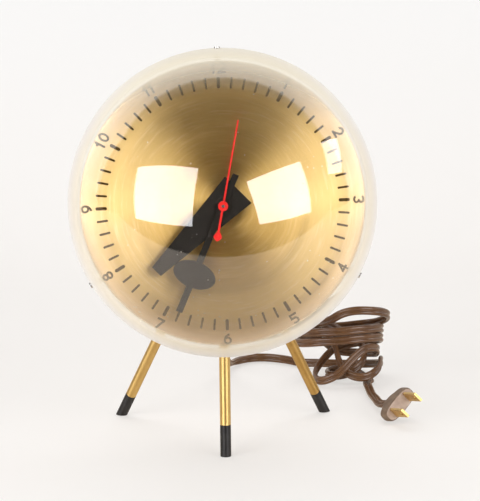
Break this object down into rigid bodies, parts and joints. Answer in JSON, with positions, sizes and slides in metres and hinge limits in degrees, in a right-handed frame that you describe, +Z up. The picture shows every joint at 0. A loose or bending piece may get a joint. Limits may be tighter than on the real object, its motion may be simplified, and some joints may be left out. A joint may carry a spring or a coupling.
{
  "type": "table clock",
  "caption": "Electric table clock with a clear hemispherical dome over a brass dial and hands, a round rear case on splayed brass rod legs, and a bundled flat cord with a plug.",
  "frame": {"origin": "on the table under the middle of the clock's box, cord left out", "axes": "+Z up, -Y towards the viewer, +X to the viewer's right"},
  "size_m": [0.2075, 0.3046, 0.2377],
  "materials": {
    "acrylic": "clear moulded acrylic, polished",
    "dial_brass": "brushed in circles and lacquered",
    "case_brass": "spun and lacquered",
    "leg_brass": "polished rod with light tarnish",
    "movement_brass": "plain machined brass",
    "motor_copper": "copper",
    "blade_brass": "worn stamped brass",
    "steel": "turned and plated",
    "dial_ink": "printed, matt",
    "hand_black": "matt black paint",
    "hand_red": "satin red paint",
    "knob_black": "moulded, ribbed",
    "bobbin": "moulded",
    "rubber": "moulded, semi-gloss",
    "cord_vinyl": "smooth vinyl, two cores with a groove between",
    "plug_vinyl": "moulded vinyl, scuffed"
  },
  "bodies": {
    "frame": {"dome": "acrylic", "dome_screws": "steel", "dome_spacers": "acrylic", "dome_nuts": "steel", "dial_pan": "dial_brass", "minute_track": "dial_ink", "dial_numerals": "dial_ink", "dial_washer": "rubber", "dial_nut": "movement_brass", "front_plate": "movement_brass", "back_plate": "movement_brass", "plate_pillars": "movement_brass", "motion_stud": "steel", "knob_bush": "movement_brass", "rotor_can": "motor_copper", "motor_core": "steel", "coil_bobbin": "bobbin", "coil_winding": "motor_copper", "motor_posts": "movement_brass", "coil_leads": "cord_vinyl", "rear_case": "case_brass", "leg_front": "leg_brass", "leg_left": "leg_brass", "leg_right": "leg_brass", "tip_front": "rubber", "tip_left": "rubber", "tip_right": "rubber", "leg_washers": "steel", "leg_nuts": "steel", "cord_gland": "rubber", "cord_lead": "cord_vinyl", "cord_hank": "cord_vinyl", "cord_tail": "cord_vinyl", "plug_body": "plug_vinyl", "plug_blades": "blade_brass"},
    "seconds": {"seconds_arbor": "steel", "second_hand": "hand_red"},
    "minutes": {"cannon_pinion": "movement_brass", "minute_hand": "hand_black"},
    "hours": {"hour_wheel": "movement_brass", "hour_hand": "hand_black"},
    "third": {"third_wheel": "movement_brass"},
    "motion": {"motion_wheel": "movement_brass"},
    "rotor": {"rotor": "steel"},
    "setting": {"set_arbor": "steel", "set_knob": "knob_black"}
  },
  "joints": [
    {"name": "seconds_turn", "type": "hinge", "parent": "frame", "child": "seconds", "pos_m": [0, -0.00139, 0.148], "axis": [0, 0.9936, -0.1132], "continuous": true},
    {"name": "minutes_turn", "type": "hinge", "parent": "frame", "child": "minutes", "pos_m": [0, -0.00139, 0.148], "axis": [0, 0.9936, -0.1132], "continuous": true},
    {"name": "hours_turn", "type": "hinge", "parent": "frame", "child": "hours", "pos_m": [0, -0.00139, 0.148], "axis": [0, 0.9936, -0.1132], "continuous": true},
    {"name": "third_turn", "type": "hinge", "parent": "frame", "child": "third", "pos_m": [0.01536, -0.00135, 0.14835], "axis": [0, 0.9936, -0.1132], "continuous": true},
    {"name": "motion_turn", "type": "hinge", "parent": "frame", "child": "motion", "pos_m": [-0.00027, -0.00002, 0.15998], "axis": [0, 0.9936, -0.1132], "continuous": true},
    {"name": "rotor_turn", "type": "hinge", "parent": "frame", "child": "rotor", "pos_m": [0.00023, -0.00253, 0.13801], "axis": [0, 0.9936, -0.1132], "continuous": true},
    {"name": "setting_turn", "type": "hinge", "parent": "frame", "child": "setting", "pos_m": [-0.00055, 0.00134, 0.17196], "axis": [0, 0.9936, -0.1132], "continuous": true}
  ],
  "couplings": [
    {"joint": "minutes_turn", "follows": "seconds_turn", "ratio": 0.016667},
    {"joint": "hours_turn", "follows": "seconds_turn", "ratio": 0.0013889},
    {"joint": "third_turn", "follows": "seconds_turn", "ratio": -0.13333},
    {"joint": "motion_turn", "follows": "seconds_turn", "ratio": -0.0055556},
    {"joint": "rotor_turn", "follows": "seconds_turn", "ratio": -4},
    {"joint": "setting_turn", "follows": "seconds_turn", "ratio": 0.016667}
  ]
}
